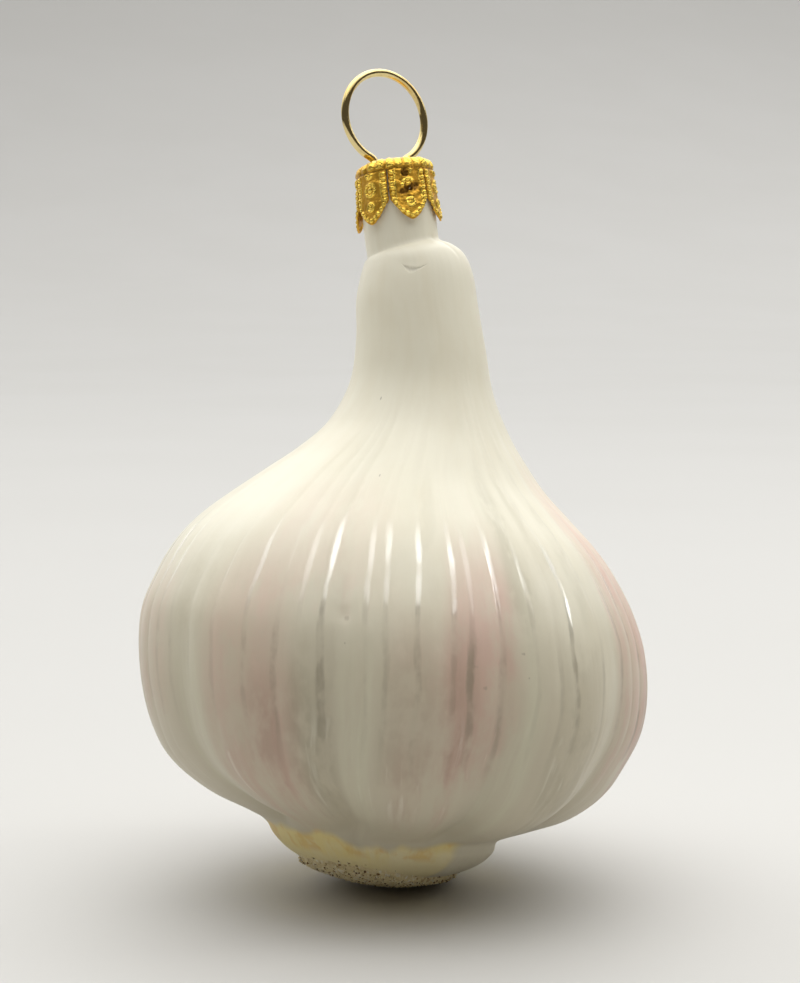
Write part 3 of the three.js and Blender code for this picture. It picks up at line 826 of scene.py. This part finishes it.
class StudioSettings(bpy.types.PropertyGroup):
    paper: bpy.props.FloatVectorProperty(
        name="Paper", description="Colour of the floor and backdrop",
        default=(0.61, 0.606, 0.598), subtype="COLOR", size=3,
    )
    room: bpy.props.FloatVectorProperty(
        name="Room", description="Light of the room behind and above",
        default=(0.95, 0.945, 0.92), subtype="COLOR", size=3,
    )
    softbox_power: bpy.props.FloatProperty(
        name="Softbox", description="Power of the overhead softbox",
        default=2.2, unit="POWER", min=0,
    )
    window_power: bpy.props.FloatProperty(
        name="Window", description="Power of the window that draws the streaks",
        default=3.5, unit="POWER", min=0,
    )


def dress(thing, material, slot_name, *nodes):
    """Gives a piece its finish and body, and lets it stand for its CAD nodes."""
    thing.data.materials.clear()
    thing.data.materials.append(material)
    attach(thing, "root")
    if nodes:
        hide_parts(*nodes)


class ORNAMENT_OT_glass(bpy.types.Operator):
    """Blow the glass bulb with its cloves, ribs, stem and neck"""

    bl_idname = "ornament.glass"
    bl_label = "Glass bulb"

    def execute(self, context):
        settings = context.scene.ornament_glass
        top = len(OUTLINE) - 1
        rows = np.concatenate([
            np.linspace(0, FIRST_BULB_ROW, 25, endpoint=False),
            np.linspace(FIRST_BULB_ROW, FIRST_STEM_ROW, 92, endpoint=False),
            np.linspace(FIRST_STEM_ROW, FIRST_NECK_ROW, 36, endpoint=False),
            np.linspace(FIRST_NECK_ROW, top, 14),
        ])
        points, values = glass_rings(rows, settings)
        points[0] = points[0].mean(axis=0)
        skin = Grid()
        skin.add(points, values)
        coarse = np.arange(INSIDE_COLUMNS) * TURN / INSIDE_COLUMNS
        inner_rows = np.concatenate([np.linspace(top, FIRST_NECK_ROW, 8), np.arange(FIRST_NECK_ROW - 3, 0, -1)])
        heights, radii, sides, tilts = outline_at(inner_rows)
        slope = outline_at(np.minimum(inner_rows + 0.05, top)) - outline_at(inner_rows - 0.05)
        slope_heights, slope_radii = slope[:2]
        steep = np.hypot(slope_heights, slope_radii)
        bore = inner_rows[:, None] >= FIRST_NECK_ROW
        full = clove_fullness(coarse) - CLOVE_MEAN
        radius = radii - WALL * np.where(bore, 1, slope_heights / steep) + full * read(CLOVE_BULGE, heights)
        height = heights + WALL * np.where(bore, 0, slope_radii / steep) - full * read(CLOVE_DROOP, heights)
        inside = tilted_rings(coarse, sides, radius, height, tilts)
        flat = np.zeros(inside.shape[:2])
        plain = {"turned": turned_place(coarse, heights), "up": flat + heights, "gap": flat + NO_GROOVE}
        plain.update(shine=flat, glaze=flat, hollow=flat)
        skin.add(inside, plain)
        bulb = skin.mesh("blown_glass", BULB)
        dress(bulb, lacquered_glass(settings), "lacquered_glass", "glass_bulb")
        return {"FINISHED"}


def crust_point(distance, azimuth, lift):
    """A point of the crust's underside in the bulb's frame, by its distance from the crust's middle."""
    x = CRUST_SIDE + distance * np.sin(azimuth)
    y = -distance * np.cos(azimuth)
    from_axis = np.hypot(x - OUTLINE[0][2], y)
    return x, y, read(CRUST_UNDERSIDE, from_axis) + lift, from_axis


def crust_rim(azimuth):
    """Radius of the crust's rim, which draws in at the front right and frays a little everywhere."""
    bare = CRUST_BARE * np.maximum(0, np.cos(azimuth - 60 * DEG)) ** 2
    more = 1.0 * np.maximum(0, np.cos(azimuth + 30 * DEG)) ** 6
    fray = 0.35 * np.sin(7 * azimuth + 1) + 0.25 * np.sin(17 * azimuth) + 0.2 * np.sin(31 * azimuth + 2)
    return CRUST_RIM - 0.3 - bare + more + 0.5 * fray


def to_ground(x, y, z):
    """Points of the bulb's frame in the ornament's own, in millimetres."""
    turn = np.array(BULB)
    points = np.stack(np.broadcast_arrays(x, y, z), axis=-1)
    return points @ turn[:3, :3].T + turn[:3, 3]


class ORNAMENT_OT_crust(bpy.types.Operator):
    """Coat the underside of the root disc with grit"""

    bl_idname = "ornament.crust"
    bl_label = "Grit crust"

    def execute(self, context):
        settings = context.scene.ornament_crust
        azimuth = np.arange(216) * TURN / 216
        share = np.linspace(0, 1, 52)[:, None]
        rim = crust_rim(azimuth)
        x, y, z, from_axis = crust_point(rim * share, azimuth, 0)
        disc = np.interp(from_axis, OUTLINE[:5, 1], OUTLINE[:5, 0])
        z = np.where(share > 0.93, z + (disc - z) * ((share - 0.93) / 0.07) ** 2, z)
        place = np.stack(np.broadcast_arrays(x, y, z), axis=-1)
        z = z + 0.07 * wobble(place, 0.5, 5) + 0.06 * wobble(place, 1.6, 6)
        points = to_ground(x, y, z)
        points[0] = points[0].mean(axis=0)
        foot = np.hypot(points[..., 0], points[..., 1])
        sunk = np.clip((foot - FOOT_RADIUS + 0.6) / 0.9, 0, 1)
        points[..., 2] = np.maximum(points[..., 2] * sunk, 0.0)
        top = to_ground(x[::6], y[::6], disc[::6] + 0.25)
        top[0] = top[0].mean(axis=0)
        crust = Grid()
        crust.add(points[:, ::-1])
        crust.add(top)
        body = crust.mesh("grit_crust")
        dress(body, sanded_grit(settings), "grit", "root_crust")

        dice = np.random.default_rng(7)
        unit = grain_shape()
        grains = Grid()
        faces = []
        corners = []
        tones = []
        for number in range(settings.grains):
            angle = dice.uniform(0, TURN)
            reach = math.sqrt(dice.uniform(0.1, 1.13))
            size = dice.uniform(0.07, 0.18)
            stray = reach > 1
            if stray and dice.uniform() > 0.4:
                continue
            gx, gy, gz, off = crust_point(float(crust_rim(angle)) * reach, angle, 0)
            lower = np.interp(off, OUTLINE[:5, 1], OUTLINE[:5, 0])
            gz = lower - 0.3 * size if stray else min(gz, lower)
            centre = to_ground(gx, gy, gz)
            if centre[2] < size * 0.8 and math.hypot(centre[0], centre[1]) < FOOT_RADIUS + 0.6:
                continue
            jolt = 1 + 0.35 * (dice.uniform(size=(len(unit[0]), 1)) - 0.5)
            turn = np.array(Matrix.Rotation(dice.uniform(0, TURN), 3, Vector(dice.normal(size=3))))
            squash = dice.uniform(0.7, 1.25, 3)
            shape = centre + size * (unit[0] * jolt * squash) @ turn
            shape[:, 2] = np.maximum(shape[:, 2], 0.0)
            faces.append(unit[1] + len(corners) * len(unit[0]))
            corners.append(shape)
            tones.append(np.full((len(unit[0]), 1), dice.uniform()))
        grains.points = corners
        grains.faces = faces
        grains.values = {"tone": tones}
        loose = grains.mesh("loose_grains")
        dress(loose, loose_grains(settings), "grit")
        return {"FINISHED"}


def grain_shape():
    """Corners and faces of one rounded grain, an icosahedron."""
    golden = (1 + math.sqrt(5)) / 2
    corners = []
    for a in (-1, 1):
        for b in (-golden, golden):
            corners += [(0, a, b), (a, b, 0), (b, 0, a)]
    corners = np.array(corners) / math.hypot(1, golden)
    near = 1.06
    faces = []
    for i in range(12):
        for j in range(i + 1, 12):
            for k in range(j + 1, 12):
                trio = corners[[i, j, k]]
                if max(np.linalg.norm(trio - np.roll(trio, 1, axis=0), axis=1)) < near:
                    normal = np.cross(trio[1] - trio[0], trio[2] - trio[0])
                    faces.append((i, j, k) if normal @ trio.sum(axis=0) > 0 else (i, k, j))
    return corners, np.array(faces)


def petal_end(across):
    """Height of a petal's edge by how far across it, from -1 to 1: a pointed arch."""
    return PETAL_SIDE_END + (PETAL_TIP_END - PETAL_SIDE_END) * (1 - np.abs(across) ** PETAL_POINT)


def petal_half():
    """Half a petal's width along the sheet."""
    return (math.pi / PETALS - PETAL_SLIT) * CAP_RADIUS


def border_beads():
    """Middles of the beads that follow a petal's border, evenly spaced."""
    inset = 0.42
    half = petal_half()
    side = [(half - inset, z) for z in np.linspace(PETAL_START + 0.3, PETAL_SIDE_END + 0.5, 40)]
    arch = [(x, float(petal_end(x / half)) + 0.55) for x in np.linspace(half - inset, 0, 60)]
    path = np.array(side + arch)
    run = np.concatenate([[0], np.cumsum(np.linalg.norm(np.diff(path, axis=0), axis=1))])
    count = round(run[-1] / BEAD_GAP)
    stops = np.linspace(0, run[-1], count + 1)
    beads = np.stack([np.interp(stops, run, path[:, 0]), np.interp(stops, run, path[:, 1])], axis=-1)
    return np.concatenate([beads, beads[:-1] * (-1, 1)])


def dome(distance, radius):
    """A rounded bead's height, from 1 in its middle to 0 at its radius."""
    return np.sqrt(np.maximum(0, 1 - (distance / radius) ** 2))


def ring_dot(x, z, height):
    """A stamped ring with a dot in it."""
    r = np.hypot(x, z - height)
    return np.exp(-((r - 0.52) / 0.15) ** 2) + 0.9 * dome(r, 0.26)


def rosette(x, z, height):
    """A stamped flower: a beaded ring round a raised middle."""
    r = np.hypot(x, z - height)
    leaves = 0.7 + 0.3 * np.cos(8 * np.arctan2(z - height, x))
    return leaves * np.exp(-((r - 0.82) / 0.2) ** 2) + dome(r, 0.42)


def petal_relief(x, z, petal):
    """Height of the stamping over a petal's plain sheet, from 0 to 1."""
    relief = np.zeros(np.broadcast(x, z).shape)
    for bead_x, bead_z in border_beads():
        relief = np.maximum(relief, dome(np.hypot(x - bead_x, z - bead_z), BEAD_RADIUS))
    for figure, height in ((ring_dot, 11.1), (rosette, 8.95), (ring_dot, 6.6)):
        relief = np.maximum(relief, figure(x, z, height))
    rail = np.exp(-((np.abs(x) - petal_half() + 0.9) / 0.12) ** 2) * (z > PETAL_SIDE_END - 0.2)
    relief = np.maximum(relief, 0.45 * rail)
    if petal == 0:
        # The front petal's dents go below the sheet, and the gold finish paints them dark as shade.
        relief = relief - 2.2 * np.exp(-(((z - 8.5) - 0.3 * x) / 0.5) ** 2 - ((x - 0.2) / 1.2) ** 2)
        relief = 1.3 * relief - 2.4 * dome(np.hypot(x + 0.3, z - 10.7), 0.6)
    return relief


def leg_point(across, height):
    """A place in the plane of the wire ring, in the neck's frame."""
    return Vector((
        LOOP_CENTRE.x + across * math.cos(LOOP_TURN), across * math.sin(LOOP_TURN), height,
    ))


class ORNAMENT_OT_cap(bpy.types.Operator):
    """Stamp the six-petal cap"""

    bl_idname = "ornament.cap"
    bl_label = "Stamped cap"

    def execute(self, context):
        settings = context.scene.ornament_cap
        across_steps = 46
        width = across_steps + 1
        column = np.arange(PETALS * width)
        petal = column // width
        across = 2 * (column % width) / across_steps - 1
        half = math.pi / PETALS - PETAL_SLIT
        azimuth = PETAL_TURN + petal * TURN / PETALS + across * half
        flat = CAP_RADIUS - CAP_SHOULDER
        radii = []
        heights = []
        reliefs = []
        for radius in np.linspace(0, flat, 24):
            place = radius * np.ones_like(azimuth)
            x, y = place * np.sin(azimuth), -place * np.cos(azimuth)
            relief = 0.7 * dome(radius - 2.6 + 0 * azimuth, 0.2) + 0.6 * dome(radius + 0 * azimuth, 1.0)
            ray = np.abs(np.sin(12 * azimuth)) ** 3
            relief = relief + 0.5 * ray * math.exp(-((radius - 3.6) / 0.5) ** 2)
            for across_hole in (-LEFT_LEG[0][0] + 0.1, LEG[0][0]):
                hole = leg_point(across_hole, 0)
                r = np.hypot(x - hole.x, y - hole.y)
                # The pressed wire holes go low, and the gold finish paints them dark as shade.
                relief = relief + 0.9 * np.exp(-((r - 0.95) / 0.2) ** 2) - 3.0 * dome(r, 0.78)
            lip = leg_point(LEG[0][0] + 0.75, 0)
            relief = relief + 3.2 * dome(np.hypot(x - lip.x, y - lip.y + 0.5), LIP_RADIUS)
            radii.append(place)
            heights.append(CAP_TOP - CAP_DOME * (place / flat) ** 2 + settings.bead_height * relief)
            reliefs.append(relief)
        for turn in np.linspace(0, 90 * DEG, 9)[1:]:
            scallop = azimuth / TURN * CAP_SCALLOPS
            bead = dome(scallop % 1 - 0.5, 0.5) * dome((turn / DEG - 45) / 45, 1.0)
            bead = bead * (0.5 + 0.6 * chance(np.floor(scallop), 3))
            out = CAP_SHOULDER + 2.0 * settings.bead_height * (bead - 0.35)
            radii.append(flat + out * math.sin(turn))
            heights.append(CAP_TOP - CAP_DOME - CAP_SHOULDER + out * math.cos(turn))
            # Between the scallops the relief goes low, and the gold finish paints it as shade.
            reliefs.append(1.7 * bead - 0.55)
        slit_row = len(radii) - 1
        start = PETAL_START
        for down in np.linspace(0, 1, 62)[1:]:
            height = start + (petal_end(across) - start) * down
            drop = (start - height) / (start - PETAL_TIP_END)
            x = across * petal_half()
            relief = np.zeros_like(azimuth)
            for number in range(PETALS):
                own = petal == number
                relief[own] = petal_relief(x[own], height[own], number)
            flare = PETAL_FLARE * drop**1.5 * (0.75 + 0.45 * chance(petal, 2))
            radii.append(CAP_RADIUS + flare + settings.bead_height * relief)
            heights.append(height)
            reliefs.append(relief)
        radii, heights, reliefs = np.array(radii), np.array(heights), np.array(reliefs)
        points = np.stack([radii * np.sin(azimuth), -radii * np.cos(azimuth), heights], axis=-1)
        crumple = wobble(points, 1.5, 8) + 0.45 * wobble(points, 0.6, 10)
        crumple = crumple * np.clip((13 - heights) / 2, 0.3, 1) * np.where(petal == 0, 2.0, 1.0)
        shift = CAP_CRUMPLE * crumple
        points[..., 0] += shift * np.sin(azimuth)
        points[..., 1] -= shift * np.cos(azimuth)
        points[0] = points[0].mean(axis=0)
        columns = len(column)

        def slit(row, mirrored):
            """Whether a face lies between two petals; the columns run backwards in the mesh."""
            return (row >= slit_row) & ((columns - 2 - mirrored) % columns % width == across_steps)

        sheet = Grid()
        sheet.add(points[:, ::-1], {"relief": np.clip(reliefs, -1, 1)[:, ::-1]}, skip=slit)
        cap = sheet.mesh("stamped_cap", NECK)
        thick = cap.modifiers.new("Sheet", "SOLIDIFY")
        thick.thickness = CAP_SHEET * MM
        thick.offset = -1
        dress(cap, stamped_gold(settings), "stamped_cap", "cap")
        return {"FINISHED"}


def smooth_path(points, steps):
    """A denser path through the points, on a Catmull-Rom curve."""
    table = np.array(points)
    padded = np.vstack([2 * table[0] - table[1], table, 2 * table[-1] - table[-2]])
    path = []
    for i in range(1, len(padded) - 2):
        a, b, c, d = padded[i - 1:i + 3]
        square = 2 * a - 5 * b + 4 * c - d
        cubic = 3 * b - a - 3 * c + d
        for w in np.arange(steps) / steps:
            path.append(0.5 * (2 * b + (c - a) * w + square * w**2 + cubic * w**3))
    path.append(table[-1])
    return np.array(path)


class ORNAMENT_OT_ring(bpy.types.Operator):
    """Bend the wire ring"""

    bl_idname = "ornament.ring"
    bl_label = "Wire ring"

    def execute(self, context):
        settings = context.scene.ornament_cap
        points = [leg_point(-across, height) for across, height in reversed(LEFT_LEG)]
        for angle in np.linspace(-LEFT_ARC, LOOP_ARC, 25):
            height = LOOP_CENTRE.z + LOOP_RADIUS * math.cos(angle)
            points.append(leg_point(LOOP_RADIUS * math.sin(angle), height))
        points += [leg_point(across, height) for across, height in LEG]
        path = smooth_path([tuple(point) for point in points], 8)
        sides = 28
        along = np.gradient(path, axis=0)
        along /= np.linalg.norm(along, axis=1)[:, None]
        out = np.array((-math.sin(LOOP_TURN), math.cos(LOOP_TURN), 0.0))
        across = np.cross(along, out)
        angle = np.arange(sides)[:, None] * TURN / sides
        radius = settings.wire_thickness / 2
        rings = []
        for place, side in zip(path, across):
            rings.append(place + radius * (np.cos(angle) * side + np.sin(angle) * out))
        tube = np.array([np.tile(path[:1], (sides, 1)), *rings, np.tile(path[-1:], (sides, 1))])
        run = np.arange(len(tube))[:, None] * 0.4
        drawn = np.stack(np.broadcast_arrays(np.cos(angle.T), np.sin(angle.T), run), axis=-1)
        wire = Grid()
        wire.add(tube, {"drawn": drawn})
        ring = wire.mesh("wire_ring", NECK)
        dress(ring, drawn_wire(settings), "ring_wire", "hanger_wire")
        return {"FINISHED"}


def area_light(name, place, size, power, colour, aim=(0, 0, 0.04)):
    """A rectangular lamp that looks at a point of the ornament."""
    lamp = bpy.data.lights.new(name, "AREA")
    lamp.shape = "RECTANGLE"
    lamp.size, lamp.size_y = size
    lamp.energy = power
    lamp.color = colour
    thing = bpy.data.objects.new(name, lamp)
    thing.location = place
    thing.rotation_euler = (Vector(aim) - Vector(place)).to_track_quat("-Z", "Y").to_euler()
    bpy.context.scene.collection.objects.link(thing)


class ORNAMENT_OT_studio(bpy.types.Operator):
    """Set up the pale paper sweep, the lamps, the room and the camera"""

    bl_idname = "ornament.studio"
    bl_label = "Studio"

    def execute(self, context):
        scene = context.scene
        settings = scene.ornament_studio
        lines = []
        for x in np.linspace(-SWEEP_WIDE, SWEEP_WIDE, 25):
            high = SWEEP_HIGH * (1 - SWEEP_SLANT * x)
            bow = [(x, SWEEP_START + SWEEP_RUN * s, high * s**3) for s in np.linspace(0, 1, 60)]
            lines.append([(x, SWEEP_EDGE, 0.0), (x, -SWEEP_FLAT, 0.0), (x, SWEEP_FLAT, 0.0), *bow])
        paper = Grid()
        paper.add(np.array(lines), closed=False)
        floor = paper.mesh("paper_sweep")
        floor.data.materials.append(pale_paper(settings))

        power = settings.softbox_power
        window = settings.window_power
        area_light("overhead_softbox", (-0.35, 0.5, 0.95), (2.2, 1.3), power, SOFT_WHITE, (-0.3, 0.4, 0))
        area_light("backdrop_softbox", (0.7, 3.0, 2.4), (3.0, 2.0), 8 * power, BACK_WHITE, (0.5, 3.4, 0))
        area_light("front_window", (0.17, -0.27, 0.86), (1.35, 0.75), window, WARM_WHITE, (0.17, -0.25, 0))
        area_light("right_window", (0.95, 0.12, 0.75), (0.3, 0.5), 0.3 * window, WARM_WHITE)

        scene.world = bright_room(settings)

        camera = bpy.data.cameras.new("camera")
        camera.lens = CAMERA_LENS
        camera.sensor_width = CAMERA_SENSOR
        camera.sensor_fit = "HORIZONTAL"
        camera.clip_start = 0.01
        viewer = bpy.data.objects.new("camera", camera)
        viewer.location = CAMERA_PLACE
        viewer.rotation_euler = (90 * DEG + CAMERA_PITCH, 0, 0)
        scene.collection.objects.link(viewer)
        scene.camera = viewer
        scene.view_settings.view_transform = "Standard"
        return {"FINISHED"}


class ORNAMENT_PT_panel(bpy.types.Panel):
    """Lists the ornament's pieces and their settings"""

    bl_idname = "ORNAMENT_PT_panel"
    bl_label = "Glass Garlic Ornament"
    bl_space_type = "VIEW_3D"
    bl_region_type = "UI"
    bl_category = "Ornament"

    def draw(self, context):
        layout = self.layout
        scene = context.scene
        for settings, operators in (
            (scene.ornament_glass, ("ornament.glass",)),
            (scene.ornament_crust, ("ornament.crust",)),
            (scene.ornament_cap, ("ornament.cap", "ornament.ring")),
            (scene.ornament_studio, ("ornament.studio",)),
        ):
            box = layout.box()
            for name in settings.__annotations__:
                box.prop(settings, name)
            for operator in operators:
                box.operator(operator)


SETTINGS = {
    "ornament_glass": GlassSettings,
    "ornament_crust": CrustSettings,
    "ornament_cap": CapSettings,
    "ornament_studio": StudioSettings,
}
OPERATORS = (
    ORNAMENT_OT_studio, ORNAMENT_OT_glass, ORNAMENT_OT_crust, ORNAMENT_OT_cap, ORNAMENT_OT_ring,
)


def register():
    for name, group in SETTINGS.items():
        bpy.utils.register_class(group)
        setattr(bpy.types.Scene, name, bpy.props.PointerProperty(type=group))
    for operator in OPERATORS:
        bpy.utils.register_class(operator)
    bpy.utils.register_class(ORNAMENT_PT_panel)


def unregister():
    bpy.utils.unregister_class(ORNAMENT_PT_panel)
    for operator in reversed(OPERATORS):
        bpy.utils.unregister_class(operator)
    for name, group in reversed(SETTINGS.items()):
        delattr(bpy.types.Scene, name)
        bpy.utils.unregister_class(group)


def main():
    register()
    bpy.ops.ornament.studio()
    bpy.ops.ornament.glass()
    bpy.ops.ornament.crust()
    bpy.ops.ornament.cap()
    bpy.ops.ornament.ring()


if __name__ == "__main__":
    main()
